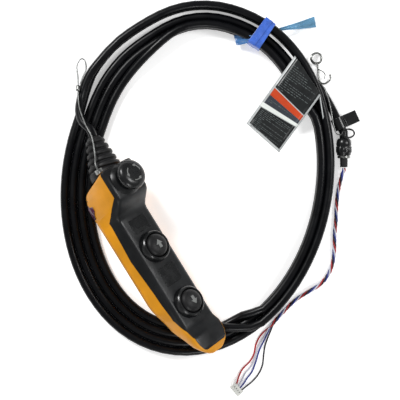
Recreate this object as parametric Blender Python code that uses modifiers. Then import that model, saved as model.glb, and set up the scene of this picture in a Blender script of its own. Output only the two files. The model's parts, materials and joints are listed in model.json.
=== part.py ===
"""Hoist pendant control station with its coiled control cable, as separate named parts.

The pendant's long axis lies along Y with the cable end at +Y. It is rolled about that axis, so its own frame
(x across, y along, z from back to front) hangs on an empty turned by ROLL. The origin is on its flat back.
"""

import math

import bmesh
import bpy
from mathutils import Matrix, Vector

MM = 0.001
GAP = 0.3  # clearance between neighbouring solids

# Pendant body, in millimetres in its own frame
ROLL = math.radians(40)
HALF_WIDTH = 21.0
WALL = 2.5
REAR_RADIUS = 10.0
FRONT_RADIUS = 4.5
GRIP_FRONT = 27.0
HEAD_FRONT = 46.0
NOSE_FRONT = 32.0
HEAD_TOP = 77.0
HEAD_SLANT = 0.27  # how far the head's end runs forward for each millimetre of depth
FOOT_CENTRE = -98.0
FOOT_RADIUS = 21.0
CHIN_START = -77.0
CHIN_SLOPE = 0.86
FLARE = 8.0  # how far the back spreads beyond the front on each side of the grip
HEAD_FLARE = 3.0
PARTING = (
    (110, 42),
    (61, 42),
    (43, 18),
    (0, 16),
    (-39, 18.5),
    (-71, 19.5),
    (-86, 26),
    (-96, 31),
    (-130, 31.3),
)

PLATE_SIZE = (18, 16)
PLATE_Y = 66.0

# Push buttons
STOP_Y = 72.0
UP_Y = 1.0
DOWN_Y = -63.0
KNOB_RADIUS = 15.0
BUTTON_RADIUS = 11.6

# Case screws: x, y and the top of the boss that takes each one
CASE_SCREWS = ((-7, 51, 34.6), (7, 51, 34.6), (0, 24, GRIP_FRONT - 1), (0, -31, GRIP_FRONT - 1))

# Cable and coil
CABLE = 8.6
BORE = CABLE / 2 + GAP
COIL_CENTRE = Vector((88.4, 34.8))
COIL_MAJOR = 179.0
COIL_MINOR = 137.0
COIL_TURN = math.radians(48.3)  # direction of the long axis
TOP_INSET = 10.2  # room for the last turn outside the bundle along the top
SPLIT = 107.0  # bearing at which the last turn leaves the flat group
TOP_BULGE = 4.0  # how far the coil is pulled out of round along the top
SLACK = 3.2  # how much further it stands out where the lead comes in
TOP_GAP = 3.0  # how much wider that room is where the last turn leaves the group
JOIN = 62.0  # bearing at which the bundle has its second layer
LEAD_BEARINGS = (97, 91, 85, 79, 73, 67, 62)  # the lead lies on the last turn over these
LOWEST = (
    REAR_RADIUS * math.cos(ROLL) - (HALF_WIDTH - REAR_RADIUS) * math.sin(ROLL) - REAR_RADIUS
)
COIL_TOP = LOWEST - GAP
COIL_BOTTOM = COIL_TOP - CABLE
FLOOR = COIL_BOTTOM - 0.6  # the tie passes under the coil

# Cable inlet, gland and connector
INLET = Vector((0, 84, 24))
BOOT_TIP = Vector((10, 124, 24))
GLAND = Vector((236.4, -7.3, FLOOR + 8.4))
GLAND_AXIS = Vector((-0.526, -0.851, 0)).normalized()
CONNECTOR = Vector((11.1, -166.7, FLOOR))
CONNECTOR_TURN = math.radians(9.1)
RING = Vector((256.0, 76, FLOOR + 4.3))
CLIP = Vector((240.4, 8.0, FLOOR + 7.2))


# ---------------------------------------------------------------- scene, collections and materials


def clear_scene():
    for obj in list(bpy.data.objects):
        bpy.data.objects.remove(obj, do_unlink=True)


def collection(name):
    group = bpy.data.collections.new(name)
    bpy.context.scene.collection.children.link(group)
    return group


def material(name, colour, roughness, metallic=0.0):
    mat = bpy.data.materials.new(name)
    mat.use_nodes = True
    shader = mat.node_tree.nodes["Principled BSDF"]
    shader.inputs["Base Color"].default_value = (*colour, 1.0)
    shader.inputs["Roughness"].default_value = roughness
    shader.inputs["Metallic"].default_value = metallic
    mat.diffuse_color = (*colour, 1.0)
    return mat


clear_scene()
PARTS = collection("pendant_control_station")
CUTTERS = collection("cutters")
YELLOW = material("yellow_shell", (0.80, 0.36, 0.01), 0.45)
BLACK = material("black_shell", (0.012, 0.014, 0.016), 0.4)
RUBBER = material("black_rubber", (0.015, 0.015, 0.016), 0.6)
JACKET = material("cable_jacket", (0.008, 0.009, 0.011), 0.35)
STEEL = material("steel", (0.55, 0.56, 0.55), 0.3, 1.0)
BRASS = material("brass", (0.70, 0.50, 0.22), 0.35, 1.0)
BOARD = material("insulator", (0.10, 0.11, 0.12), 0.6)
NYLON = material("connector_nylon", (0.75, 0.76, 0.74), 0.5)
CARD = material("tag_card", (0.62, 0.65, 0.66), 0.5)
PLATE = material("rating_plate", (0.16, 0.02, 0.05), 0.4)
TAPE = material("blue_tape", (0.05, 0.18, 0.55), 0.4)
CORE_COLOURS = {
    "red": material("core_red", (0.45, 0.02, 0.02), 0.4),
    "blue": material("core_blue", (0.02, 0.04, 0.25), 0.4),
    "white": material("core_white", (0.75, 0.76, 0.78), 0.4),
    "black": material("core_black", (0.012, 0.012, 0.014), 0.4),
}


def place(obj, parent=None, at=(0, 0, 0), cutter=False):
    """Links an object, hangs it on its parent and marks it when it only cuts."""
    (CUTTERS if cutter else PARTS).objects.link(obj)
    obj.parent = parent
    obj.location = Vector(at) * MM
    if cutter:
        obj.hide_render = True
        obj.display_type = "WIRE"
    return obj


def empty(name, at=(0, 0, 0), rotation=(0, 0, 0), parent=None):
    obj = bpy.data.objects.new(name, None)
    place(obj, parent, at)
    obj.rotation_euler = rotation
    return obj


# ---------------------------------------------------------------- modelling helpers, all in millimetres


def finish_mesh(bm, name, mat, sharp=35):
    bmesh.ops.recalc_face_normals(bm, faces=bm.faces)
    if bm.calc_volume(signed=True) < 0:
        bmesh.ops.reverse_faces(bm, faces=bm.faces)
    bmesh.ops.scale(bm, vec=(MM, MM, MM), verts=bm.verts)
    mesh = bpy.data.meshes.new(name)
    bm.to_mesh(mesh)
    bm.free()
    mesh.shade_smooth()
    mesh.set_sharp_from_angle(angle=math.radians(sharp))
    if mat:
        mesh.materials.append(mat)
    return mesh


def box(name, size, centre, mat=None, parent=None, at=(0, 0, 0), edge=0.0, cutter=False):
    bm = bmesh.new()
    bmesh.ops.create_cube(bm, size=1, matrix=Matrix.Translation(centre) @ Matrix.Diagonal((*size, 1)))
    if edge:
        bmesh.ops.bevel(bm, geom=bm.edges, offset=edge, segments=2, profile=0.5, affect="EDGES")
    return place(bpy.data.objects.new(name, finish_mesh(bm, name, mat)), parent, at, cutter)


def cylinder(name, radius, low, high, mat=None, parent=None, at=(0, 0, 0), sides=24, cutter=False):
    """A cylinder along its object's Z axis, from low to high."""
    bm = bmesh.new()
    middle = Matrix.Translation((0, 0, (low + high) / 2))
    bmesh.ops.create_cone(
        bm, cap_ends=True, segments=sides, radius1=radius, radius2=radius, depth=high - low, matrix=middle
    )
    return place(bpy.data.objects.new(name, finish_mesh(bm, name, mat)), parent, at, cutter)


def turned(name, profile, mat, parent=None, at=(0, 0, 0), ring=False, sides=24):
    """A turned part about Z. The profile of radius and height runs down its outer side."""
    mesh = bpy.data.meshes.new(name)
    count = len(profile)
    edges = [(i, i + 1) for i in range(count - 1)]
    if ring:
        edges.append((count - 1, 0))
    mesh.from_pydata([(r * MM, 0, z * MM) for r, z in profile], edges, [])
    mesh.materials.append(mat)
    obj = place(bpy.data.objects.new(name, mesh), parent, at)
    screw = obj.modifiers.new("turn", "SCREW")
    screw.steps = screw.render_steps = sides
    screw.use_merge_vertices = True
    screw.merge_threshold = 0.00001
    screw.use_smooth_shade = True
    return obj


def curve_through(points, step):
    """Even points, about one step apart, on a smooth curve through the route's points."""
    route = [Vector(p) for p in points]
    route = [2 * route[0] - route[1]] + route + [2 * route[-1] - route[-2]]
    fine = []
    for a, b, c, d in zip(route, route[1:], route[2:], route[3:]):
        for i in range(12):
            t = i / 12
            bend = 2 * a - 5 * b + 4 * c - d
            twist = 3 * b - a - 3 * c + d
            fine.append(0.5 * (2 * b + (c - a) * t + bend * t**2 + twist * t**3))
    fine.append(route[-2])
    length = sum((q - p).length for p, q in zip(fine, fine[1:]))
    count = max(2, round(length / step))
    spots = [fine[0]]
    travelled = 0.0
    for p, q in zip(fine, fine[1:]):
        span = (q - p).length
        while len(spots) < count and travelled + span >= length * len(spots) / count:
            spots.append(p.lerp(q, (length * len(spots) / count - travelled) / span))
        travelled += span
    spots.append(fine[-1])
    return spots


def tube(name, points, diameter, mat, parent=None, at=(0, 0, 0), closed=False, resolution=2):
    data = bpy.data.curves.new(name, "CURVE")
    data.dimensions = "3D"
    data.bevel_depth = diameter / 2 * MM
    data.bevel_resolution = resolution
    data.use_fill_caps = not closed
    spline = data.splines.new("POLY")
    spline.points.add(len(points) - 1)
    for spot, p in zip(spline.points, points):
        spot.co = (*(Vector(p) * MM), 1)
    spline.use_cyclic_u = closed
    spline.use_smooth = True
    data.materials.append(mat)
    return place(bpy.data.objects.new(name, data), parent, at)


def prism(name, outline, low, high, across, mat=None, parent=None, at=(0, 0, 0), cutter=False, edge=0.0):
    """A closed outline pulled from low to high. across is "x" for an outline in y and z, "z" for x and y."""
    bm = bmesh.new()
    if across == "x":
        rim = [bm.verts.new((low, u, v)) for u, v in outline]
        pull = Vector((high - low, 0, 0))
    else:
        rim = [bm.verts.new((u, v, low)) for u, v in outline]
        pull = Vector((0, 0, high - low))
    face = bm.faces.new(rim)
    moved = bmesh.ops.extrude_face_region(bm, geom=[face])["geom"]
    bmesh.ops.translate(bm, vec=pull, verts=[v for v in moved if isinstance(v, bmesh.types.BMVert)])
    if edge:
        bmesh.ops.bevel(bm, geom=bm.edges, offset=edge, segments=2, profile=0.5, affect="EDGES")
    return place(bpy.data.objects.new(name, finish_mesh(bm, name, mat)), parent, at, cutter)


def loft(name, rings, mat=None, parent=None, closed=False, cutter=False):
    """Skins a row of rings with equal numbers of points, closed end to end or capped."""
    bm = bmesh.new()
    rows = [[bm.verts.new(p) for p in ring] for ring in rings]
    pairs = list(zip(rows, rows[1:]))
    if closed:
        pairs.append((rows[-1], rows[0]))
    else:
        bm.faces.new(rows[0])
        bm.faces.new(rows[-1])
    for one, two in pairs:
        for i in range(len(one)):
            j = (i + 1) % len(one)
            bm.faces.new((one[i], one[j], two[j], two[i]))
    return place(bpy.data.objects.new(name, finish_mesh(bm, name, mat)), parent, cutter=cutter)


def combine(obj, cutter, operation):
    step = obj.modifiers.new(cutter.name, "BOOLEAN")
    step.operation = operation
    step.object = cutter


def rounded_box(x_low, x_high, z_low, z_high, radii, segments, spread=0.0):
    """Points round a box section from its lower right corner. spread moves the lower corners outwards."""
    corners = (
        (x_high + spread, z_low, -1, 1, radii[0], -90),
        (x_high, z_high, -1, -1, radii[1], 0),
        (x_low, z_high, 1, -1, radii[1], 90),
        (x_low - spread, z_low, 1, 1, radii[0], 180),
    )
    points = []
    for x, z, inward_x, inward_z, radius, start in corners:
        for i in range(segments + 1):
            angle = math.radians(start + 90 * i / segments)
            out_x = inward_x + math.cos(angle)
            out_z = inward_z + math.sin(angle)
            points.append((x + radius * out_x, z + radius * out_z))
    return points


def blend(value, low, high):
    """0 at low, 1 at high, with a soft start and end."""
    t = min(1.0, max(0.0, (value - low) / (high - low)))
    return t * t * (3 - 2 * t)


# ---------------------------------------------------------------- pendant shells


def front_height(y):
    """Depth of the front face: nose at the foot, then grip, shoulder and head."""
    nose = NOSE_FRONT + (GRIP_FRONT - NOSE_FRONT) * blend(y, -96, -84)
    return nose + (HEAD_FRONT - GRIP_FRONT) * blend(y, 39, 58)


def chin_height(y):
    """Depth of the back face, which rises along the chin."""
    rise = max(0.0, CHIN_START - y)
    return CHIN_SLOPE * rise * rise / (rise + 5)


def side_flare(y):
    """How much wider the back is than the front: little at the head, full on the grip, none at the foot."""
    return (FLARE - (FLARE - HEAD_FLARE) * blend(y, 64, 76)) * blend(y, -80, -46)


def body_stations():
    """Stations along the body: y, half width, back, front and the slant of the station's plane."""
    stations = []
    for degrees in (72, 60, 46, 32, 16, 0):
        angle = math.radians(degrees)
        y = FOOT_CENTRE - FOOT_RADIUS * math.sin(angle)
        stations.append((y, HALF_WIDTH * math.cos(angle), y))
    chin = (-94, -90, -86, -82, -79, -77, -72, -66, -60, -53, -46)
    shoulder = (38, 42, 46, 50, 54, 58, 61, 65, 69)
    stations += [(y, HALF_WIDTH, y) for y in chin + shoulder]
    rows = []
    for y, half, at in stations:
        back = chin_height(at)
        front = front_height(at) - 2.5 * blend(-at, 108, 119)
        rows.append((y, half, min(back, front - 5), front, HEAD_SLANT * blend(y, 60, 74)))
    for y, shrink in ((74.5, 0.0), (76.2, 0.7), (HEAD_TOP, 2.4)):
        rows.append((y, HALF_WIDTH - shrink, shrink, HEAD_FRONT - shrink, HEAD_SLANT))
    return rows


def body(name, offset, mat=None, parent=None, cutter=False):
    """The body's outer form moved in by offset, or out where offset is below zero."""
    rings = []
    rows = body_stations()
    for index, (y, half, back, front, slant) in enumerate(rows):
        width = max(2.0, half - offset)
        low = back + offset
        high = max(front - offset, low + 1.5)
        limit = min(width, (high - low) / 2) * 0.96
        radii = (min(max(REAR_RADIUS - offset, 1), limit), min(max(FRONT_RADIUS - offset, 1), limit))
        if index < 3:
            y += offset
        if index >= len(rows) - 3:
            y -= offset
        section = rounded_box(-width, width, low, high, radii, 3, side_flare(y))
        rings.append([(x, y + slant * z, z) for x, z in section])
    return loft(name, rings, mat, parent, cutter=cutter)


def parting_region(name, rear, parent):
    """The side of the parting line that one shell keeps."""
    shift = -GAP / 2 if rear else GAP / 2
    line = [(y, z + shift) for y, z in PARTING]
    edge = -20 if rear else 80
    return prism(name, line + [(-130, edge), (110, edge)], -40, 40, "x", parent=parent, cutter=True)


def rear_shell(pendant, hollow):
    shell = body("rear_shell", 0, YELLOW, pendant)
    combine(shell, parting_region("rear_side", True, pendant), "INTERSECT")
    combine(shell, hollow, "DIFFERENCE")
    for number, (x, y, _) in enumerate(CASE_SCREWS, 1):
        seat = cylinder(f"seat_{number}", 5, 1.5, 6, parent=pendant, at=(x, y, 0), cutter=True)
        recess = cylinder(f"recess_{number}", 3.7, -3, 3.4, parent=pendant, at=(x, y, 0), cutter=True)
        hole = cylinder(f"hole_{number}", 2.1, 1, 9, parent=pendant, at=(x, y, 0), sides=16, cutter=True)
        combine(shell, seat, "UNION")
        combine(shell, recess, "DIFFERENCE")
        combine(shell, hole, "DIFFERENCE")
    size = (PLATE_SIZE[0] + 2 * GAP, PLATE_SIZE[1] + 2 * GAP, 4)
    pocket = box("plate_pocket", size, (0, PLATE_Y, -0.8), parent=pendant, cutter=True)
    combine(shell, pocket, "DIFFERENCE")
    inlet = cylinder("inlet_hole", 9, -12, 12, parent=pendant, at=INLET, cutter=True)
    inlet.rotation_euler = inlet_rotation()
    combine(shell, inlet, "DIFFERENCE")


def front_shell(pendant, hollow):
    shell = body("front_shell", 0, BLACK, pendant)
    combine(shell, parting_region("front_side", False, pendant), "INTERSECT")
    combine(shell, hollow, "DIFFERENCE")
    for name, y, radius in (("stop", STOP_Y, 9.0), ("up", UP_Y, 10.5), ("down", DOWN_Y, 10.5)):
        hole = cylinder(f"{name}_hole", radius, 20, 60, parent=pendant, at=(0, y, 0), cutter=True)
        combine(shell, hole, "DIFFERENCE")
    for number, (x, y, top) in enumerate(CASE_SCREWS, 1):
        boss = cylinder(f"boss_{number}", 3.8, 6.4, top, parent=pendant, at=(x, y, 0), cutter=True)
        bore = cylinder(f"bore_{number}", 2.1, 5, 20, parent=pendant, at=(x, y, 0), sides=16, cutter=True)
        combine(shell, boss, "UNION")
        combine(shell, bore, "DIFFERENCE")


def case_screws(pendant):
    profile = ((0, 0.6), (1.6, 0.6), (3.3, 1.1), (3.3, 3.0), (1.75, 3.0), (1.75, 17), (0, 18.5))
    for number, (x, y, _) in enumerate(CASE_SCREWS, 1):
        # the screw's head is at the back, so its profile is listed from its tip
        turned(f"case_screw_{number}", profile[::-1], STEEL, pendant, (x, y, 0), sides=16)


def shell_gasket(pendant):
    """A round seal that follows the parting line inside the walls."""
    inside = HALF_WIDTH - WALL - 1.5

    def height(y):
        for (y1, z1), (y2, z2) in zip(PARTING, PARTING[1:]):
            if y2 <= y <= y1:
                return min(z2 + (z1 - z2) * (y - y2) / (y1 - y2), front_height(y) - WALL - 2.1)
        return PARTING[-1][1]

    side = [83.4, 72, 62, 58, 54, 50, 46, 42, 36, 15, 0, -20, -39, -71, -80, -88, -95]
    right = [(inside, y, height(y) - 0.6) for y in side]
    foot = []
    for degrees in (30, 70, 110, 150):
        angle = math.radians(degrees)
        y = FOOT_CENTRE - 5 * math.sin(angle)
        foot.append((inside * math.cos(angle), y, height(y) - 1.6))
    left = [(-x, y, z) for x, y, z in reversed(right)]
    tube("shell_gasket", right + foot + left, 1.6, RUBBER, pendant, closed=True)


def rear_plate(pendant):
    box("rear_plate", (PLATE_SIZE[0], PLATE_SIZE[1], 0.6), (0, PLATE_Y, 0.6), PLATE, pendant, edge=0.15)


# ---------------------------------------------------------------- cable inlet


def inlet_rotation():
    return (BOOT_TIP - INLET).to_track_quat("Z", "Y").to_euler()


def cord_boot(pendant, grown, flush):
    """A ribbed rubber bell that tapers from the head to the cable."""
    length = (BOOT_TIP - INLET).length
    ribs = 5
    pitch = (length - 8) / ribs
    outer = [(BORE, length), (6.6, length), (7.2, length - 1.5)]
    for rib in range(ribs):
        top = length - 2 - rib * pitch
        radius = 8.0 + (16.2 - 8.0) * (rib + 1) / ribs
        outer += [(radius - 2.0, top - 0.4), (radius, top - 1.2), (radius + 0.4, top - pitch + 2.2)]
        outer += [(radius - 1.4, top - pitch + 1.2)]
    outer += [(17.0, 5), (17.0, -6), (BORE, -6)]
    boot = turned("cord_boot", outer, RUBBER, pendant, INLET, ring=True)
    boot.rotation_euler = inlet_rotation()
    combine(boot, grown, "DIFFERENCE")
    profile = ((BORE, 4), (8.7, 4), (8.7, -2.2), (BORE, -2.2))
    bush = turned("inlet_bush", profile, RUBBER, pendant, INLET, ring=True, sides=20)
    bush.rotation_euler = inlet_rotation()
    combine(bush, flush, "INTERSECT")
    line = [(0, 0, -2.4), (0, 0, length / 2), (0, 0, length - GAP)]
    stub = tube("cable_stub", line, CABLE, JACKET, pendant, INLET)
    stub.rotation_euler = inlet_rotation()


def relief_line(pendant, rolled):
    """A steel wire from an anchor on the head, along the boot and cable to a crimped eye."""
    anchor = Vector((-16.5, HEAD_TOP + HEAD_SLANT * 38 + 3.6, 38))
    box("relief_anchor", (6, 5, 6), anchor, STEEL, pendant, edge=0.6)
    start = rolled @ (anchor + Vector((0, 2.9, 0)))
    route = [
        start,
        start + Vector((0.6, 5, -0.6)),
        (16.5, 107, 33.5),
        (22.6, 124, 25.0),
        (23.6, 139, 17.5),
        (26.2, 155, 8.3),
        (30.2, 166, 2.6),
        (33.6, 172.2, 1.7),
    ]
    tube("relief_line", curve_through(route, 6), 1.4, STEEL)
    ends = [Vector((34.0, 172.9, 1.8)), Vector((36.8, 177.7, 0.8))]
    tube("eye_ferrule", [ends[0], ends[0].lerp(ends[1], 0.5), ends[1]], 4.2, STEEL)
    eye = [
        (37.3, 178.0, 0.5),
        (41.5, 186.0, -1.6),
        (45.9, 195.4, -3.8),
        (53.0, 199.6, -5.4),
        (55.6, 196.0, -5.2),
        (52.2, 187.6, -1.4),
        (44.4, 182.0, 0.2),
        (39.2, 177.4, 0.6),
    ]
    tube("eye_loop", curve_through(eye, 3), 1.9, STEEL)


# ---------------------------------------------------------------- buttons and contacts


def spring(name, radius, wire, low, high, turns, pendant, y):
    count = round(turns * 8)
    points = []
    for i in range(count + 1):
        angle = math.tau * i / 8
        height = low + wire / 2 + (high - low - wire) * i / count
        points.append((radius * math.cos(angle), radius * math.sin(angle), height))
    tube(name, points, wire, STEEL, pendant, (0, y, 0))


def stop_button(pendant):
    at = (0, STOP_Y, 0)
    front = HEAD_FRONT
    collar = ((9.3, front + 3.5), (13.5, front + 3.5), (16.4, front + GAP), (9.3, front + GAP))
    turned("stop_collar", collar, BLACK, pendant, at, ring=True)
    knob = (
        (0, 64),
        (6, 63.7),
        (11, 62.6),
        (14, 60.6),
        (KNOB_RADIUS, 58),
        (14.4, 55.2),
        (13, 54),
        (8.4, 54),
        (8.4, 49.2),
        (0, 49.2),
    )
    turned("stop_knob", knob, BLACK, pendant, at)
    stem = ((0, 48.9), (6, 48.9), (6, 43), (9.6, 43), (9.6, 40.8), (6, 40.8), (6, 29), (4, 28), (0, 28))
    turned("stop_stem", stem, BOARD, pendant, at, sides=20)
    spring("stop_spring", 7.0, 0.8, 20.3, 40.5, 4, pendant, STOP_Y)
    box("stop_contact_block", (22, 15, 14), (0, STOP_Y - 5, 13), BOARD, pendant, edge=0.8)


def travel_button(pendant, side, y):
    at = (0, y, 0)
    front = GRIP_FRONT
    guard = ((12.4, 34), (14.4, 34), (15.4, 32.6), (16, front + GAP), (12.4, front + GAP))
    turned(f"{side}_guard", guard, BLACK, pendant, at, ring=True)
    cap = (
        (0, 38.4),
        (5, 38.1),
        (9, 37.0),
        (11, 35.2),
        (BUTTON_RADIUS, 33),
        (BUTTON_RADIUS, 30.6),
        (10, 30.6),
        (10, 22.4),
        (12, 22.4),
        (12, 20.4),
        (0, 20.4),
    )
    turned(f"{side}_button", cap, RUBBER, pendant, at)
    plunger = ((0, 20.1), (3, 20.1), (3, 12), (0, 12))
    turned(f"{side}_plunger", plunger, BRASS, pendant, at, sides=16)
    spring(f"{side}_spring", 6.0, 0.8, 14.3, 20.1, 3, pendant, y)
    block = box(f"{side}_contact_block", (20, 24, 8), (0, y, 10), BOARD, pendant, edge=0.8)
    well = cylinder(f"{side}_well", 3.5, 7.5, 20, parent=pendant, at=at, sides=16, cutter=True)
    combine(block, well, "DIFFERENCE")


def carrier(pendant):
    """The insulating plate that the contact blocks and the terminals stand on."""
    low = -76
    high = 73.5
    plate = box("contact_carrier", (26, high - low, 1.6), (0, (low + high) / 2, 4.9), BOARD, pendant)
    for number, (x, y, _) in enumerate(CASE_SCREWS, 1):
        name = f"carrier_hole_{number}"
        hole = cylinder(name, 5.5, 0, 9, parent=pendant, at=(x, y, 0), sides=16, cutter=True)
        combine(plate, hole, "DIFFERENCE")
    box("terminal_block", (28, 9, 8), (0, 37.5, 10), BOARD, pendant, edge=0.6)


def inner_cores(pendant):
    """Four cores from the cable's cut end, round the stop button's stem, to the terminals."""
    lanes = {"red": -1.5, "white": -0.5, "blue": 0.5, "black": 1.5}
    for colour, lane in lanes.items():
        side = 1 if lane > 0 else -1
        outer = 12.4 + 2.5 * (abs(lane) - 0.5)
        route = [
            (side * 1.6 - 0.5, 80.1, 24 + 2.8 * (abs(lane) - 1)),
            (side * 8.4, 78.0, 25 + 3.4 * (abs(lane) - 1)),
            (side * outer, 73, 24.5),
            (side * outer, 60, 22.5),
            (side * outer, 48, 20),
            (side * (outer - 1), 42, 17.8),
            (lane * 8.0, 38, 15.2),
        ]
        tube(f"inner_core_{colour}", curve_through(route, 4), 1.6, CORE_COLOURS[colour], pendant)


# ---------------------------------------------------------------- coiled cable


def coil_point(bearing, inset, height):
    """A point at a bearing in degrees, so far in from the coil's outline and so high above its underside."""
    angle = math.radians(bearing) - COIL_TURN
    along = math.atan2(math.sin(angle) / COIL_MINOR, math.cos(angle) / COIL_MAJOR)
    spot = Vector((COIL_MAJOR * math.cos(along), COIL_MINOR * math.sin(along)))
    normal = Vector((math.cos(along) / COIL_MAJOR, math.sin(along) / COIL_MINOR)).normalized()
    turn = Matrix.Rotation(COIL_TURN, 2)
    lap = (bearing + 120) % 360 - 120
    pulled = TOP_BULGE * blend(lap, 38, 68) + SLACK * blend(lap, 74, 94)
    inset -= pulled * (1 - blend(lap, 100, 122))
    flat = COIL_CENTRE + turn @ (spot - normal * inset)
    return Vector((flat.x, flat.y, COIL_BOTTOM + height))


def coil_section(bearing):
    """Outer inset, inner inset and height of the bundle at a bearing between -120 and 240 degrees."""
    flat = 4 * CABLE + 0.4
    stacked = 2 * CABLE + 0.8
    parted = TOP_INSET * blend(bearing, -8, 8) + TOP_GAP * blend(bearing, 52, 92)
    outer = parted * (1 - blend(bearing, SPLIT - 1, SPLIT + 1))
    inner = parted + stacked + CABLE * blend(bearing, JOIN, SPLIT - 3)
    inner += (flat - inner) * max(blend(-bearing, 92, 117), blend(bearing, SPLIT - 6, SPLIT + 14))
    layers = 2 - blend(-bearing, 92, 117) - blend(bearing, JOIN - 0.5, JOIN + 0.5)
    return outer, inner, layers * CABLE


def cable_coil():
    bearings = [-120 + 8 * i for i in range(45)]
    bearings += [SPLIT - 1, SPLIT + 1, JOIN - 0.5, JOIN + 0.5]
    rings = []
    for bearing in sorted(set(bearings)):
        outer, inner, height = coil_section(bearing)
        section = rounded_box(outer, inner, 0, height, (2.6, 3.2), 2)
        rings.append([coil_point(bearing, inset, up) for inset, up in section])
    loft("cable_coil", rings, JACKET, closed=True)


def cable_ends(rolled):
    """The lead from the boot onto the coil, and the last turn round the top to the gland."""
    out = rolled @ (BOOT_TIP - INLET).normalized()
    tip = rolled @ BOOT_TIP + out * 3 * GAP
    on_top = CABLE * 1.5 + GAP
    route = [
        tip,
        tip + out * 5,
        (24.2, 135.5, 9.4),
        (21.8, 143, 7.0),
        (24.1, 154.4, 1.2),
        (32.0, 165.6, -4.6),
        (42.6, 175.4, -5.6),
        (55.4, 183.2, -5.2),
    ]
    route += [coil_point(bearing, CABLE / 2 - 0.4, on_top) for bearing in LEAD_BEARINGS]
    tube("cable_lead", curve_through(route, 2 * CABLE), CABLE, JACKET, resolution=2)
    low = CABLE / 2
    last_turn = [coil_point(SPLIT - 1.4 - 6 * i, CABLE / 2 - 0.4, low) for i in range(17)]
    last_turn += [
        coil_point(4.1, -0.6, low),
        coil_point(-2.8, -4.6, low),
        (241.0, 14.0, CLIP.z - 0.2),
        CLIP,
        GLAND - GLAND_AXIS * 4.5 + Vector((0.5, 0, 0)),
        GLAND - GLAND_AXIS * GAP,
    ]
    tube("cable_tail", curve_through(last_turn, 2 * CABLE), CABLE, JACKET, resolution=2)


INNER_TAIL = ((204.2, 124.4), (193.0, 134.5), (188.2, 127.5), (202.2, 121.0))
OUTER_TAIL = ((241.5, 121.6), (243.6, 115.8), (272.7, 103.1), (276.8, 113.5))


def coil_tie():
    """A tape band wound round the bundle, with its two free ends."""
    bearing = 33.5
    width = 12.5
    outside = coil_point(bearing, -1.2, 0)
    inside = coil_point(bearing, TOP_INSET + 2 * CABLE + 2.2, 0)
    middle = (outside + inside) / 2
    across = outside - inside
    turn = math.atan2(across.y, across.x)
    height = 2 * CABLE + 1.6
    band = empty("tie_frame", (middle.x, middle.y, FLOOR), (0, 0, turn))
    loop = box("coil_tie", (across.length, width, height), (0, 0, height / 2), TAPE, band, edge=0.8)
    space = (across.length - 1.0, width + 4, height - 0.8)
    room = box("tie_room", space, (0, 0, height / 2), parent=band, cutter=True)
    combine(loop, room, "DIFFERENCE")
    for name, outline in (("tie_tail_inner", INNER_TAIL), ("tie_tail_outer", OUTER_TAIL)):
        prism(name, outline, FLOOR + 2, FLOOR + 2.6, "z", TAPE)


# ---------------------------------------------------------------- tag


def tag():
    """A folded card: its lower end leans on the table, its upper end lies on the bundle."""
    frame = empty("tag_frame", (169.8, 37.2, 0), (0, 0, math.radians(22.6)))
    top = COIL_BOTTOM + 2 * CABLE + 0.5
    foot = FLOOR + 0.4
    line = ((-0.5, foot), (8, foot + 0.9), (24, foot + 6), (38, top - 3.3), (47, top - 0.1), (56, top + 0.5))
    line += ((82.5, top + 0.7),)
    outline = [(x, z) for x, z in line] + [(x, z + 0.6) for x, z in reversed(line)]
    bm = bmesh.new()
    rim = [bm.verts.new((x, -22, z)) for x, z in outline]
    face = bm.faces.new(rim)
    moved = bmesh.ops.extrude_face_region(bm, geom=[face])["geom"]
    bmesh.ops.translate(bm, vec=(0, 44, 0), verts=[v for v in moved if isinstance(v, bmesh.types.BMVert)])
    card = place(bpy.data.objects.new("tag", finish_mesh(bm, "tag", CARD)), frame)
    beyond = ((65.3, -23), (82.9, 23), (95, 23), (95, -23))
    combine(card, prism("tag_end", beyond, -30, 30, "z", parent=frame, cutter=True), "DIFFERENCE")
    leaf = ((64.5, -22.4), (61.5, -22.4), (46.9, -37.3), (48.6, -37.9))
    prism("tag_leaf", leaf, top + 0.5, top + 1.1, "z", CARD, frame)


# ---------------------------------------------------------------- hook and relief wire


def split_ring():
    """Two turns of springy wire that close in as they rise."""
    points = []
    for i in range(33):
        turn = i / 16
        angle = math.tau * turn
        radius = 6.2 - 0.95 * turn
        points.append((radius * math.cos(angle), radius * math.sin(angle), -1.4 + 1.4 * turn))
    tube("split_ring", points, 1.5, STEEL, at=RING)


def snap_hook():
    route = [
        (-1.0, -3.0),
        (-3.0, -8.0),
        (-5.2, -12.4),
        (-8.0, -18.0),
        (-9.0, -22.4),
        (-6.4, -25.6),
        (-1.6, -26.0),
        (2.2, -24.0),
        (3.6, -20.6),
    ]
    low = FLOOR - RING.z + 1.1
    tube("snap_hook", curve_through([(x, y, low) for x, y in route], 2.4), 1.9, STEEL, at=RING)
    gate = [(-4.4, -9.6), (-1.2, -14.6), (-1.0, -18.4), (-4.0, -21.6)]
    tube("hook_latch", curve_through([(x, y, low + 1.8) for x, y in gate], 2.4), 1.0, STEEL, at=RING)


def relief_wire():
    high = COIL_BOTTOM + 2 * CABLE + 1.1
    route = [
        (246.0, 46.5, high - 5.5),
        (244.6, 40.0, high - 3.0),
        (240.4, 27.0, high - 1.5),
        (233.6, 10.0, high - 1.0),
        (231.6, 1.0, high - 1.2),
        (234.6, -2.6, high - 0.6),
    ]
    tube("relief_wire", curve_through(route, 5), 1.3, STEEL)


# ---------------------------------------------------------------- hoist end: strap, gland, cores, connector


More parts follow.
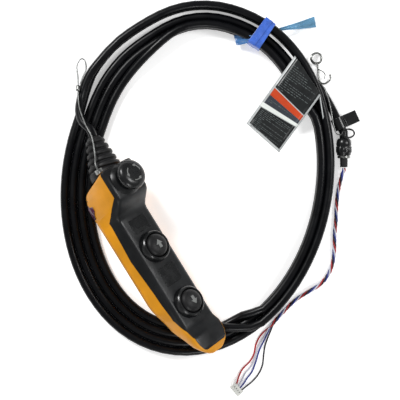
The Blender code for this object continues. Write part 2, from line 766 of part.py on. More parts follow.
def end_strap():
    """A cable clip: a band bent over the cable, with a flat tail that points outwards."""
    inner = CABLE / 2 + 3 * GAP
    outer = inner + 1.6
    rim = [(outer, math.radians(a)) for a in range(14, 217, 18)]
    rim += [(inner, math.radians(a)) for a in range(212, -21, -18)]
    outline = [(r * math.cos(a), r * math.sin(a)) for r, a in rim] + [(20.2, -1.6), (20.2, 1.6)]
    strap = prism("end_strap", outline, -6.2, 6.2, "z", BLACK, at=CLIP)
    strap.rotation_euler = (math.radians(90), 0, math.radians(-8))


def gland():
    turn = GLAND_AXIS.to_track_quat("Z", "Y").to_euler()
    body_profile = (
        (BORE, 17),
        (6.8, 17),
        (7.2, 14.6),
        (7.9, 13.8),
        (7.9, 8.6),
        (7.2, 7.8),
        (7.6, 5.0),
        (7.0, 1.6),
        (5.6, 0),
        (BORE, 0),
    )
    parts = [turned("gland_body", body_profile, BLACK, at=GLAND, ring=True, sides=20)]
    washer = ((4.2, 20.0), (6.3, 20.0), (6.5, 19.4), (6.5, 17.9), (6.3, 17.3), (4.2, 17.3))
    parts.append(turned("gland_washer", washer, STEEL, at=GLAND, ring=True, sides=20))
    sleeve = ((0, 29.0), (3.6, 29.0), (3.8, 28.4), (3.8, 17.6), (0, 17.6))
    parts.append(turned("core_sleeve", sleeve, RUBBER, at=GLAND, sides=16))
    for part in parts:
        part.rotation_euler = turn
    loop = []
    for i in range(24):
        angle = math.tau * i / 24
        loop.append((6.0 * math.cos(angle), 4.2 * math.sin(angle), 0))
    eye = tube("strap_loop", loop, 1.7, BLACK, at=(242.2, -5.2, GLAND.z + 6.2), closed=True)
    eye.rotation_euler = (0, 0, math.radians(-31.7))


CORE_ROUTE = (
    (215.9, -37.6),
    (205.0, -48.9),
    (195.6, -60.7),
    (187.2, -73.2),
    (178.2, -85.2),
    (170.0, -97.9),
    (161.0, -109.0),
    (150.6, -116.8),
    (138.9, -120.6),
    (127.0, -120.8),
    (115.9, -120.6),
    (104.6, -121.8),
    (93.6, -124.4),
    (83.5, -127.2),
    (75.0, -129.9),
)
CORE_ENDS = {
    "red": ((62.0, -132.4), (52.0, -138.0), (44.6, -145.6), (37.0, -149.8), (28.4, -151.8), (21.5, -155.4)),
    "white": ((62, -136), (51.8, -141.6), (43.4, -149.2), (35.4, -154.6), (26.8, -157.4), (22, -160.6)),
    "blue": ((61.4, -138.6), (51.6, -145.0), (42.0, -153.4), (33.4, -159.8), (26.0, -162.6), (21.5, -164.8)),
    "black": ((60.4, -142.8), (53, -151), (46.4, -159.4), (38, -165.2), (28.6, -168.2), (22, -169)),
}


def cores():
    """A twisted bundle along the coil's foot, then four separate cores into the connector."""
    start = GLAND + GLAND_AXIS * (29 + 3 * GAP)
    straight = start + GLAND_AXIS * 3 + Vector((0, 0, -0.6))
    low = FLOOR + 2.1
    heights = [low + 4.2, low + 1.0] + [low] * (len(CORE_ROUTE) - 2)
    route = [start, straight] + [(x, y, z) for (x, y), z in zip(CORE_ROUTE, heights)]
    tube("core_bundle", curve_through(route, 7), 3.9, CORE_COLOURS["black"])
    turn = Matrix.Rotation(CONNECTOR_TURN, 4, "Z")
    for lane, (colour, middle) in enumerate(CORE_ENDS.items()):
        across = 3.75 - 2.5 * lane
        side, layer = ((1, 0), (1, 1), (-1, 1), (-1, 0))[lane]
        first = (74.0, -130.1 + 1.05 * side, FLOOR + 1.1 + 2.0 * layer)
        last = CONNECTOR + turn @ Vector((4.2, across, 2.6))
        heights = [1.1 + 1.4 * layer, 1.1, 1.1, 1.1, 1.4, 1.8]
        points = [first] + [(x, y, FLOOR + z) for (x, y), z in zip(middle, heights)] + [last]
        tube(f"core_{colour}", curve_through(points, 5), 1.7, CORE_COLOURS[colour])


def connector():
    frame = empty("connector_frame", CONNECTOR, (0, 0, CONNECTOR_TURN))
    box("connector_housing", (7.4, 11.6, 5.4), (0, 0, 2.8), NYLON, frame, edge=0.3)


# ---------------------------------------------------------------- the whole object


def main():
    pendant = empty("pendant_frame", rotation=(0, ROLL, 0))
    rolled = Matrix.Rotation(ROLL, 3, "Y")
    hollow = body("hollow", WALL, parent=pendant, cutter=True)
    grown = body("grown", -GAP, parent=pendant, cutter=True)
    flush = body("flush", 0, parent=pendant, cutter=True)
    rear_shell(pendant, hollow)
    front_shell(pendant, hollow)
    case_screws(pendant)
    shell_gasket(pendant)
    rear_plate(pendant)
    cord_boot(pendant, grown, flush)
    relief_line(pendant, rolled)
    stop_button(pendant)
    travel_button(pendant, "up", UP_Y)
    travel_button(pendant, "down", DOWN_Y)
    carrier(pendant)
    inner_cores(pendant)
    cable_coil()
    cable_ends(rolled)
    coil_tie()
    tag()
    split_ring()
    snap_hook()
    relief_wire()
    end_strap()
    gland()
    cores()
    connector()


main()
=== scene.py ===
"""Looks of the pendant control station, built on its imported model.

Lengths are in millimetres up to the helpers that make objects, which scale them to metres.
"""

import json
import math
import random

import bmesh
import bpy
from mathutils import Matrix, Vector, noise


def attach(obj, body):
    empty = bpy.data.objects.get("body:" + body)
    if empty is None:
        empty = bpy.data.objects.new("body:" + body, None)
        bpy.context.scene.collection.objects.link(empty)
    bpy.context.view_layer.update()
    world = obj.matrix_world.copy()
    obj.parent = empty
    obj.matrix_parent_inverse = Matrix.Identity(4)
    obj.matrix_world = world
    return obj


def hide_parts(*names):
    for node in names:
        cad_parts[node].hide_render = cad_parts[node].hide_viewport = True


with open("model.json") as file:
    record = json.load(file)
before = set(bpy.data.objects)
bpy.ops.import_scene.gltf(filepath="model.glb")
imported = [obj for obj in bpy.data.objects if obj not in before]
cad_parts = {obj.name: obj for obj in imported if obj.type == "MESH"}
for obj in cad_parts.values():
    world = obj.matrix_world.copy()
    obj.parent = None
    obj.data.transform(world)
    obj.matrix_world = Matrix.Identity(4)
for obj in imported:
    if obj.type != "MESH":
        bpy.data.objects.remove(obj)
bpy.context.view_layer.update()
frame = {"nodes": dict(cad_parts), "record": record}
NODES = frame["nodes"]

MM = 0.001
GAP = 0.3  # clearance between neighbouring pieces
ROLL = math.radians(40)
TILT = Matrix.Rotation(ROLL, 4, "Y")  # from the pendant's own frame to the row frame

CABLE = 8.6  # diameter of the control cable
TURNS = 4
COIL_CENTRE = Vector((88.4, 34.8))
COIL_MAJOR = 179.0  # half the coil's length
COIL_MINOR = 137.0  # half its width
COIL_TURN = math.radians(48.3)
TOP_INSET = 10.2  # room for the last turn outside the bundle along the top
TOP_BULGE = 4.0  # how far the coil is pulled out of round along the top
SLACK = 3.2  # how much further it stands out where the lead comes in
TOP_GAP = 3.0  # how much wider that room is where the last turn leaves the group
JOIN = 62.0  # bearing at which the bundle has its second layer
STACK_END = -92  # bearing past which the bundle flattens again
FLAT = -118  # and where its turns lie side by side
CLOSING = 121  # bearing at which the flat group starts to close up
SIDE_GAP = 0.2  # between the coil's outline and its outer strand
OVERHANG = 0.4  # how far the last turn stands out of that outline along the top

LOWEST = 10 * math.cos(ROLL) - 11 * math.sin(ROLL) - 10  # underside of the tilted rear shell
COIL_TOP = LOWEST - GAP
COIL_BOTTOM = COIL_TOP - CABLE
FLOOR = COIL_BOTTOM - 0.6
INLET = Vector((0, 84, 24))  # in the pendant's own frame, as is the boot's tip
BOOT_TIP = Vector((10, 124, 24))
BOOT_AXIS = BOOT_TIP - INLET
CABLE_OUT = (TILT @ BOOT_AXIS).normalized()
CABLE_START = TILT @ BOOT_TIP + CABLE_OUT * 3 * GAP
GLAND = Vector((236.4, -7.3, FLOOR + 8.4))
GLAND_AXIS = Vector((-0.526, -0.851, 0)).normalized()
CONNECTOR = Vector((11.1, -166.7, FLOOR))
CONNECTOR_TURN = math.radians(9.1)
CONTACT_PITCH = 2.5
RING = Vector((256.0, 76, FLOOR + 4.3))
CLIP = Vector((240.4, 8.0, FLOOR + 7.2))

IMAGE_RIGHT = Vector((0.851, -0.526, 0)).normalized()
IMAGE_UP = Vector((0.526, 0.851, 0)).normalized()
VIEW_CENTRE = Vector((0.0804, 0.0162, 0))  # metres
CAMERA_HEIGHT = Vector((0, 0, 1.2))


# ---------------------------------------------------------------- camera


def camera():
    """Straight above the table, with a long lens."""
    data = bpy.data.cameras.new("camera")
    data.lens = 108
    data.sensor_width = 36
    data.clip_end = 20
    cam = bpy.data.objects.new("camera", data)
    bpy.context.scene.collection.objects.link(cam)
    turn = Matrix((IMAGE_RIGHT, IMAGE_UP, Vector((0, 0, 1)))).transposed().to_4x4()
    cam.matrix_world = Matrix.Translation(VIEW_CENTRE + CAMERA_HEIGHT) @ turn
    bpy.context.scene.camera = cam


camera()


# ---------------------------------------------------------------- materials


class Shader:
    """A Principled material with its texture coordinates, and a few node helpers."""

    def __init__(self, name, colour, roughness, metallic=0.0):
        self.mat = bpy.data.materials.new(name)
        self.mat.use_nodes = True
        self.nodes = self.mat.node_tree.nodes
        self.links = self.mat.node_tree.links
        self.out = self.nodes["Principled BSDF"]
        self.out.inputs["Base Color"].default_value = (*colour, 1)
        self.out.inputs["Roughness"].default_value = roughness
        self.out.inputs["Metallic"].default_value = metallic
        self.mat.diffuse_color = (*colour, 1)
        self.coordinates = self.nodes.new("ShaderNodeTexCoord").outputs["Object"]
        self.height = None

    def set(self, **values):
        for key, value in values.items():
            self.out.inputs[key.replace("_", " ")].default_value = value
        return self

    def noise(self, scale, detail=3, stretch=None):
        source = self.coordinates
        if stretch:
            mapping = self.nodes.new("ShaderNodeMapping")
            mapping.inputs["Scale"].default_value = stretch
            self.links.new(source, mapping.inputs["Vector"])
            source = mapping.outputs["Vector"]
        node = self.nodes.new("ShaderNodeTexNoise")
        node.inputs["Scale"].default_value = scale
        node.inputs["Detail"].default_value = detail
        self.links.new(source, node.inputs["Vector"])
        return node.outputs["Fac"]

    def ramp(self, source, low, high, first, second):
        node = self.nodes.new("ShaderNodeValToRGB")
        node.color_ramp.elements[0].position = low
        node.color_ramp.elements[1].position = high
        node.color_ramp.elements[0].color = (*first, 1)
        node.color_ramp.elements[1].color = (*second, 1)
        self.links.new(source, node.inputs["Fac"])
        return node.outputs["Color"]

    def mottle(self, scale, first, second):
        colour = self.ramp(self.noise(scale, detail=4), 0.35, 0.65, first, second)
        self.links.new(colour, self.out.inputs["Base Color"])
        return self

    def gloss(self, scale, low, high):
        node = self.nodes.new("ShaderNodeMapRange")
        node.inputs["From Min"].default_value = 0.3
        node.inputs["From Max"].default_value = 0.7
        node.inputs["To Min"].default_value = low
        node.inputs["To Max"].default_value = high
        self.links.new(self.noise(scale), node.inputs["Value"])
        self.links.new(node.outputs["Result"], self.out.inputs["Roughness"])
        return self

    def bump(self, scale, strength, distance, detail=3, stretch=None):
        node = self.nodes.new("ShaderNodeBump")
        node.inputs["Strength"].default_value = strength
        node.inputs["Distance"].default_value = distance
        self.links.new(self.noise(scale, detail, stretch), node.inputs["Height"])
        if self.height:
            self.links.new(self.height, node.inputs["Normal"])
        self.height = node.outputs["Normal"]
        self.links.new(self.height, self.out.inputs["Normal"])
        return self


def shade(colour, factor):
    return tuple(min(1.0, c * factor) for c in colour)


def plain(
    name,
    colour,
    roughness,
    metallic=0.0,
    grain=1600,
    depth=0.00006,
    strength=0.25,
    vary=0.12,
    coarse=45,
):
    """A moulded or drawn surface: slow colour drift, uneven gloss and a fine grain."""
    made = Shader(name, colour, roughness, metallic)
    made.mottle(coarse, shade(colour, 1 - vary), shade(colour, 1 + vary))
    made.gloss(coarse * 2.4, max(0.02, roughness - 0.07), roughness + 0.09)
    made.bump(grain, strength, depth)
    return made


YELLOW = plain(
    "moulded_yellow", (0.60, 0.245, 0.006), 0.42, vary=0.10, grain=2600, depth=0.00008, strength=0.35
)
YELLOW.set(Specular_IOR_Level=0.35)
BLACK = plain(
    "moulded_black", (0.0055, 0.0062, 0.007), 0.36, vary=0.3, grain=2400, depth=0.00009, strength=0.4
)
BLACK.set(Specular_IOR_Level=0.32)
SATIN = plain("satin_black", (0.005, 0.0055, 0.006), 0.26, vary=0.2, grain=1800, depth=0.00004, strength=0.2)
SATIN.set(Specular_IOR_Level=0.4)
RUBBER = plain("black_rubber", (0.006, 0.006, 0.0065), 0.5, vary=0.3, grain=1300, depth=0.0001, strength=0.4)
RUBBER.set(Specular_IOR_Level=0.28)
JACKET = plain(
    "cable_jacket", (0.002, 0.0022, 0.003), 0.3, vary=0.3, grain=420, depth=0.00004, strength=0.12, coarse=30
)
JACKET.bump(90, 0.15, 0.0003, detail=1)
JACKET.set(Specular_IOR_Level=0.2)
STEEL = plain(
    "bright_steel",
    (0.26, 0.265, 0.255),
    0.26,
    metallic=1.0,
    grain=900,
    depth=0.00005,
    strength=0.3,
    vary=0.14,
    coarse=160,
)
DULL_STEEL = plain(
    "dull_steel",
    (0.22, 0.225, 0.22),
    0.38,
    metallic=1.0,
    grain=1200,
    strength=0.4,
    vary=0.2,
    coarse=240,
)
BRASS = plain("turned_brass", (0.70, 0.50, 0.22), 0.33, 1.0, grain=1500, depth=0.00004, vary=0.1)
BOARD = plain("insulator", (0.06, 0.065, 0.07), 0.55, vary=0.15)
NYLON = plain("natural_nylon", (0.62, 0.63, 0.60), 0.42, vary=0.05, grain=1500, depth=0.00003)
# Dark grey for the walls of the plug's slots: painted shade in those recesses, not a colour of the nylon.
PAINTED_SLOT_SHADE = plain("plug_slot_painted_shade", (0.08, 0.08, 0.08), 0.6)
# Dark purple of the rating plate, also used for the painted shade film along the head's rear edge.
PLATE_AND_SHADE_FILM = plain("rating_plate", (0.055, 0.008, 0.03), 0.3, vary=0.2)
CARD = plain("laminated_card", (0.47, 0.49, 0.49), 0.34, vary=0.06, grain=700, depth=0.00004, coarse=25)
CARD_WHITE = plain("card_print_white", (0.80, 0.84, 0.81), 0.34, vary=0.04, grain=700, depth=0.00003)
CARD_BLACK = plain("card_print_black", (0.007, 0.0085, 0.009), 0.32, vary=0.25, grain=700, depth=0.00003)
CARD_GREY = plain("card_print_grey", (0.035, 0.042, 0.055), 0.34, vary=0.25, grain=700, depth=0.00003)
CARD_ORANGE = plain("card_print_orange", (0.56, 0.055, 0.008), 0.34, vary=0.12, grain=700, depth=0.00003)
CARD_LINE = plain("card_print_line", (0.085, 0.10, 0.10), 0.4, vary=0.45, coarse=300)
MARK = plain("button_mark", (0.16, 0.165, 0.16), 0.45, vary=0.1)
BLUE_TAPE = plain(
    "blue_tape", (0.045, 0.125, 0.52), 0.26, vary=0.25, grain=260, depth=0.0003, strength=0.4, coarse=90
)
BLUE_TAPE.bump(1.0, 0.4, 0.0003, detail=2, stretch=(500, 60, 300))
BLUE_TAPE.set(Specular_IOR_Level=0.6)
DARK_TAPE = plain(
    "dark_tape", (0.07, 0.20, 0.46), 0.28, vary=0.3, grain=260, depth=0.0003, strength=0.4, coarse=80
)
DARK_TAPE.bump(1.0, 0.4, 0.0003, detail=2, stretch=(300, 500, 300))
DARK_TAPE.set(Transmission_Weight=0.2, Specular_IOR_Level=0.6)
PALE_TAPE = plain(
    "pale_tape", (0.15, 0.36, 0.55), 0.28, vary=0.25, grain=260, depth=0.0003, strength=0.4, coarse=70
)
PALE_TAPE.bump(1.0, 0.4, 0.0003, detail=2, stretch=(300, 500, 300))
PALE_TAPE.set(Transmission_Weight=0.35, Specular_IOR_Level=0.6)
CORE_COLOURS = {
    "red": plain("core_red", (0.36, 0.010, 0.014), 0.35, vary=0.15, coarse=150),
    "blue": plain("core_blue", (0.010, 0.022, 0.20), 0.35, vary=0.15, coarse=150),
    "white": plain("core_white", (0.50, 0.51, 0.58), 0.38, vary=0.07, coarse=150),
    "black": plain("core_black", (0.006, 0.006, 0.010), 0.35, vary=0.2, coarse=150),
}

SLOT_LOOKS = {
    "yellow_shell": YELLOW,
    "black_shell": BLACK,
    "black_rubber": RUBBER,
    "cable_jacket": JACKET,
    "steel": STEEL,
    "brass": BRASS,
    "insulator": BOARD,
    "rating_plate": PLATE_AND_SHADE_FILM,
    "connector_nylon": NYLON,
    "tag_card": CARD,
    "blue_tape": BLUE_TAPE,
    "core_red": CORE_COLOURS["red"],
    "core_blue": CORE_COLOURS["blue"],
    "core_white": CORE_COLOURS["white"],
    "core_black": CORE_COLOURS["black"],
}


def dress_cad():
    """Every CAD node that stays shown gets its slot's procedural material."""
    for row in frame["record"]["subparts"]:
        for place in NODES[row["node"]].material_slots:
            place.link = "OBJECT"
            place.material = SLOT_LOOKS[row["material_slot"]].mat


dress_cad()


# ---------------------------------------------------------------- mesh helpers


def keep(obj, body, nodes=()):
    """Links a finished piece, rides it on its body and hides the CAD nodes it stands for."""
    if not obj.users_collection:
        bpy.context.scene.collection.objects.link(obj)
    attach(obj, body)
    if nodes:
        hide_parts(*nodes)
    return obj


def from_bmesh(bm, name, look, matrix=None, sharp=35):
    """An object from a mesh in millimetres, shaded smooth below an angle."""
    bmesh.ops.recalc_face_normals(bm, faces=bm.faces)
    if matrix:
        bm.transform(matrix)
    bmesh.ops.scale(bm, vec=(MM, MM, MM), verts=bm.verts)
    mesh = bpy.data.meshes.new(name)
    bm.to_mesh(mesh)
    bm.free()
    mesh.shade_smooth()
    mesh.set_sharp_from_angle(angle=math.radians(sharp))
    mesh.materials.append(look.mat)
    obj = bpy.data.objects.new(name, mesh)
    bpy.context.scene.collection.objects.link(obj)
    return obj


def bevelled(obj, width, segments=3):
    step = obj.modifiers.new("edge", "BEVEL")
    step.width = width * MM
    step.segments = segments
    step.limit_method = "ANGLE"
    step.angle_limit = math.radians(32)
    step.harden_normals = True
    return obj


def refined(node, name, look, body, width=0.5):
    """The CAD node's own form with its facets merged and its edges rounded."""
    bm = bmesh.new()
    bm.from_mesh(NODES[node].data)
    bmesh.ops.remove_doubles(bm, verts=bm.verts, dist=0.00002)
    bmesh.ops.dissolve_limit(bm, angle_limit=math.radians(1.0), verts=bm.verts, edges=bm.edges)
    bmesh.ops.scale(bm, vec=(1000, 1000, 1000), verts=bm.verts)
    obj = from_bmesh(bm, name, look)
    if width:
        bevelled(obj, width)
    return keep(obj, body, [node])


def turned(name, profile, look, matrix, sides=72, ring=False, sharp=40):
    """A turned piece. The profile of radius and height runs down its outer side."""
    bm = bmesh.new()
    rows = []
    for radius, height in profile:
        if radius < 0.001:
            rows.append([bm.verts.new((0, 0, height))])
            continue
        row = []
        for i in range(sides):
            angle = math.tau * i / sides
            row.append(bm.verts.new((radius * math.cos(angle), radius * math.sin(angle), height)))
        rows.append(row)
    pairs = list(zip(rows, rows[1:]))
    if ring:
        pairs.append((rows[-1], rows[0]))
    for one, two in pairs:
        for i in range(sides):
            j = (i + 1) % sides
            corners = [one[i % len(one)], one[j % len(one)], two[j % len(two)], two[i % len(two)]]
            bm.faces.new(list(dict.fromkeys(corners)))
    return from_bmesh(bm, name, look, matrix, sharp)


def softened(profile, reach=0.35):
    """Cuts each corner of an open profile into a short arc."""
    points = [Vector(p) for p in profile]
    made = [points[0]]
    for a, b, c in zip(points, points[1:], points[2:]):
        near = min(reach, (b - a).length * 0.45, (c - b).length * 0.45)
        start = b + (a - b).normalized() * near
        end = b + (c - b).normalized() * near
        made += [start, (start + end) / 4 + b / 2, end]
    made.append(points[-1])
    return [(max(0, p.x), p.y) for p in made]


def placed_along(spot, axis):
    """The frame at a spot whose Z runs along an axis."""
    return Matrix.Translation(spot) @ axis.to_track_quat("Z", "Y").to_matrix().to_4x4()


def measured(points):
    return sum((q - p).length for p, q in zip(points, points[1:]))


def between(a, b, c, d, t):
    """A point from b to c on the smooth curve that also goes through a and d."""
    bend = 2 * a - 5 * b + 4 * c - d
    twist = 3 * b - a - 3 * c + d
    return 0.5 * (2 * b + (c - a) * t + bend * t**2 + twist * t**3)


def curve_through(points, step):
    """Even points, about one step apart, on a smooth curve through the route's points."""
    route = [Vector(p) for p in points]
    route = [2 * route[0] - route[1]] + route + [2 * route[-1] - route[-2]]
    fine = []
    for a, b, c, d in zip(route, route[1:], route[2:], route[3:]):
        fine += [between(a, b, c, d, i / 16) for i in range(16)]
    fine.append(route[-2])
    length = measured(fine)
    count = max(2, round(length / step))
    spots = [fine[0]]
    travelled = 0.0
    for p, q in zip(fine, fine[1:]):
        span = (q - p).length
        while len(spots) < count and travelled + span >= length * len(spots) / count:
            spots.append(p.lerp(q, (length * len(spots) / count - travelled) / span))
        travelled += span
    spots.append(fine[-1])
    return spots


def rope(name, points, diameter, look, closed=False, resolution=5):
    """A round wire or cable on one spline."""
    data = bpy.data.curves.new(name, "CURVE")
    data.dimensions = "3D"
    data.bevel_depth = diameter / 2 * MM
    data.bevel_resolution = resolution
    data.use_fill_caps = not closed
    spline = data.splines.new("POLY")
    spline.points.add(len(points) - 1)
    for spot, p in zip(spline.points, points):
        spot.co = (*(Vector(p) * MM), 1)
    spline.use_cyclic_u = closed
    spline.use_smooth = True
    data.materials.append(look.mat)
    obj = bpy.data.objects.new(name, data)
    bpy.context.scene.collection.objects.link(obj)
    return obj


def blend(value, low, high):
    """0 below low, 1 above high, and smooth between."""
    t = min(1.0, max(0.0, (value - low) / (high - low)))
    return t * t * (3 - 2 * t)


def sheet_grid(name, rows, look, thickness, closed=False, smooth=1):
    """A thin sheet through rows of points, with its thickness and one subdivision applied as modifiers."""
    bm = bmesh.new()
    grid = [[bm.verts.new(p) for p in row] for row in rows]
    pairs = list(zip(grid, grid[1:]))
    if closed:
        pairs.append((grid[-1], grid[0]))
    for one, two in pairs:
        for i in range(len(one) - 1):
            bm.faces.new((one[i], one[i + 1], two[i + 1], two[i]))
    obj = from_bmesh(bm, name, look, sharp=180)
    solid = obj.modifiers.new("thickness", "SOLIDIFY")
    solid.thickness = thickness * MM
    solid.offset = 0
    if smooth:
        sub = obj.modifiers.new("smooth", "SUBSURF")
        sub.levels = sub.render_levels = smooth
    return obj


def carve(obj, cutter):
    """Cuts one object out of another and removes the cutter."""
    step = obj.modifiers.new("cut", "BOOLEAN")
    step.operation = "DIFFERENCE"
    step.object = cutter
    step.solver = "EXACT"
    graph = bpy.context.evaluated_depsgraph_get()
    mesh = bpy.data.meshes.new_from_object(obj.evaluated_get(graph))
    obj.modifiers.clear()
    obj.data = mesh
    bpy.data.objects.remove(cutter, do_unlink=True)


def add_block(bm, size, spot):
    bmesh.ops.create_cube(bm, size=1, matrix=Matrix.Translation(spot) @ Matrix.Diagonal((*size, 1)))


def round_cutters(name, matrix, orbit, radius, depth, height, first=0.0, sides=16):
    """Twelve upright rods round an axis, which cut flutes or scallops."""
    bm = bmesh.new()
    for i in range(12):
        angle = math.tau * (i + first) / 12
        spot = Matrix.Translation((orbit * math.cos(angle), orbit * math.sin(angle), height))
        bmesh.ops.create_cone(
            bm, cap_ends=True, segments=sides, radius1=radius, radius2=radius, depth=depth, matrix=spot
        )
    return from_bmesh(bm, name, SATIN, matrix)


# ---------------------------------------------------------------- the control cable


def coil_point(bearing, inset, height):
    """A point at a bearing in degrees, so far in from the coil's outline and so high above its foot."""
    angle = math.radians(bearing) - COIL_TURN
    along = math.atan2(math.sin(angle) / COIL_MINOR, math.cos(angle) / COIL_MAJOR)
    spot = Vector((COIL_MAJOR * math.cos(along), COIL_MINOR * math.sin(along)))
    normal = Vector((math.cos(along) / COIL_MAJOR, math.sin(along) / COIL_MINOR)).normalized()
    lap = (bearing + 120) % 360 - 120
    pulled = TOP_BULGE * blend(lap, 38, 68) + SLACK * blend(lap, 74, 94)
    inset -= pulled * (1 - blend(lap, 100, 122))
    flat = COIL_CENTRE + Matrix.Rotation(COIL_TURN, 2) @ (spot - normal * inset)
    return Vector((flat.x, flat.y, COIL_BOTTOM + height))


def closing_place(turn, bearing):
    """Inset and height of one turn where the flat group closes up, from CLOSING down to JOIN degrees."""
    half = CABLE / 2
    if turn == TURNS:
        return half + SIDE_GAP - (SIDE_GAP + OVERHANG) * (1 - blend(bearing, 100, 107)), half
    parted = TOP_INSET - CABLE + TOP_GAP * blend(bearing, 52, 92)
    first = half + SIDE_GAP + CABLE + parted * (1 - blend(bearing, 101, CLOSING))
    if turn > 1:
        return first + CABLE * (3 - turn), half
    roll = math.radians(90 * (1 - blend(bearing, JOIN, 104)))
    return first + CABLE * (1 + math.cos(roll)), half + CABLE * math.sin(roll)


def strand_place(turn, bearing):
    """Inset and height of one turn of the cable at a bearing from 89 down to -271 degrees."""
    half = CABLE / 2
    if bearing < CLOSING - 360:
        return closing_place(turn + 1, bearing + 360)
    if turn and bearing > JOIN:
        return closing_place(turn, bearing)
    if turn == 0 and bearing > STACK_END:
        return half + SIDE_GAP - (SIDE_GAP + OVERHANG) * blend(bearing, -8, 8), half + CABLE
    edge = half + SIDE_GAP + TOP_INSET * blend(bearing, -8, 8) + TOP_GAP * blend(bearing, 52, 92)
    if bearing > STACK_END:
        column, layer = ((1, 1), (1, 0), (0, 0))[turn - 1]
        return edge + column * CABLE, half + layer * CABLE
    if bearing > FLAT:
        if turn == 3:
            return edge, half
        if turn == 2:
            return edge + CABLE, half
        if turn == 1:
            roll = math.radians(90 * blend(-bearing, 92, 105))
            return edge + CABLE * (1 + math.sin(roll)), half + CABLE * math.cos(roll)
        slide = 2 * blend(-bearing, 97, 112)
        roll = math.radians(90 * blend(-bearing, 109, 118))
        return edge + CABLE * (slide + math.sin(roll)), half + CABLE * math.cos(roll)
    return edge + CABLE * (3 - turn), half


def cable_route():
    """From the boot onto the coil's top strand, four turns round, and over the top to the gland."""
    out = CABLE / 2 - OVERHANG
    low = CABLE / 2
    on_top = CABLE * 1.5 + GAP
    lead = [
        CABLE_START,
        CABLE_START + CABLE_OUT * 5,
        (24.2, 135.5, 9.4),
        (21.8, 143, 7.0),
        (24.1, 154.4, 1.2),
        (32.0, 165.6, -4.6),
        (42.6, 175.4, -5.6),
        (55.4, 183.2, -5.2),
        coil_point(97, out, on_top),
        coil_point(91, out, on_top),
    ]
    route = curve_through(lead, 5)[:-1]
    for turn in range(TURNS):
        for i in range(90):
            bearing = 87 - 4 * i
            route.append(coil_point(bearing, *strand_place(turn, bearing)))
    last = [coil_point(87 - 6 * i, out, low) for i in range(13)]
    last += [
        coil_point(9.6, out, low),
        coil_point(4.1, -0.6, low),
        coil_point(-2.8, -4.6, low),
        (241.0, 14.0, CLIP.z - 0.2),
        CLIP,
        GLAND - GLAND_AXIS * 4.5 + Vector((0.5, 0, 0)),
        GLAND - GLAND_AXIS * GAP,
    ]
    return route + curve_through(last, 6)


CABLE_POINTS = cable_route()
cable = rope("control_cable", CABLE_POINTS, CABLE, JACKET, resolution=8)
keep(cable, "root", ["cable_lead", "cable_coil", "cable_tail"])


# ---------------------------------------------------------------- cores and connector


CORE_ROUTE = (
    (215.9, -37.6),
    (205.0, -48.9),
    (195.6, -60.7),
    (187.2, -73.2),
    (178.2, -85.2),
    (170.0, -97.9),
    (161.0, -109.0),
    (150.6, -116.8),
    (138.9, -120.6),
    (127.0, -120.8),
    (115.9, -120.6),
    (104.6, -121.8),
    (93.6, -124.4),
    (83.5, -127.2),
    (75.0, -129.9),
)
CORE_ENDS = {
    "red": ((62.0, -132.4), (52.0, -138.0), (44.6, -145.6), (37.0, -149.8), (28.4, -151.8), (21.5, -155.4)),
    "white": ((62, -136), (51.8, -141.6), (43.4, -149.2), (35.4, -154.6), (26.8, -157.4), (22, -160.6)),
    "blue": ((61.4, -138.6), (51.6, -145.0), (42.0, -153.4), (33.4, -159.8), (26.0, -162.6), (21.5, -164.8)),
    "black": ((60.4, -142.8), (53, -151), (46.4, -159.4), (38, -165.2), (28.6, -168.2), (22, -169)),
}
CORE = 1.65  # diameter of one core
TWIST_PITCH = 21.0


def lane_place(lane):
    """How far across the plug one of its four contacts is."""
    return (1.5 - lane) * CONTACT_PITCH


def core_points(lane, colour):
    """One core: its helix in the twisted bundle, then its own way to the connector."""
    start = GLAND + GLAND_AXIS * 29.9
    straight = start + GLAND_AXIS * 3 + Vector((0, 0, -0.6))
    low = FLOOR + 2.1
    heights = [low + 4.2, low + 1.0] + [low] * (len(CORE_ROUTE) - 2)
    line = curve_through([start, straight] + [(x, y, z) for (x, y), z in zip(CORE_ROUTE, heights)], 1.3)
    radius = CORE * 0.71
    made = []
    run = 0.0
    total = measured(line)
    for i, spot in enumerate(line):
        if i:
            run += (line[i] - line[i - 1]).length
        ahead = line[min(i + 1, len(line) - 1)] - line[max(i - 1, 0)]
        flat = Vector((-ahead.y, ahead.x, 0)).normalized()
        lift = ahead.normalized().cross(flat)
        angle = math.tau * (total - run) / TWIST_PITCH + math.pi * (0.25 + lane / 2)
        made.append(spot + flat * radius * math.cos(angle) + lift * radius * math.sin(angle))
    last = CONNECTOR + Matrix.Rotation(CONNECTOR_TURN, 3, "Z") @ Vector((2.6, lane_place(lane), 2.6))
    layer = (0, 1, 1, 0)[lane]
    heights = [1.1 + 1.4 * layer, 1.1, 1.1, 1.1, 1.4, 1.8]
    ends = [(x, y, FLOOR + z) for (x, y), z in zip(CORE_ENDS[colour], heights)] + [last]
    tail = curve_through([made[-2]] + ends, 3)
    return made[:-2] + tail


def connector():
    """A white board plug with wire slots on one side and its contact windows on top."""
    bm = bmesh.new()
    add_block(bm, (7.4, 11.6, 5.4), (0, 0, 2.8))
    place = Matrix.Translation(CONNECTOR) @ Matrix.Rotation(CONNECTOR_TURN, 4, "Z")
    housing = from_bmesh(bm, "plug_housing", NYLON, place, sharp=30)
    cuts = bmesh.new()
    for lane in range(4):
        y = lane_place(lane)
        add_block(cuts, (3.0, 1.7, 1.7), (2.9, y, 2.6))
        add_block(cuts, (1.6, 1.1, 1.4), (0.4, y, 5.2))
        add_block(cuts, (4.0, 0.7, 0.5), (-1.8, y + CONTACT_PITCH / 2, 5.4))
    # The cutter's dark grey is painted shade for the walls of the slots it leaves.
    carve(housing, from_bmesh(cuts, "plug_cuts", PAINTED_SLOT_SHADE, place))
    bevelled(housing, 0.22, 2)
    return keep(housing, "root", ["connector_housing"])


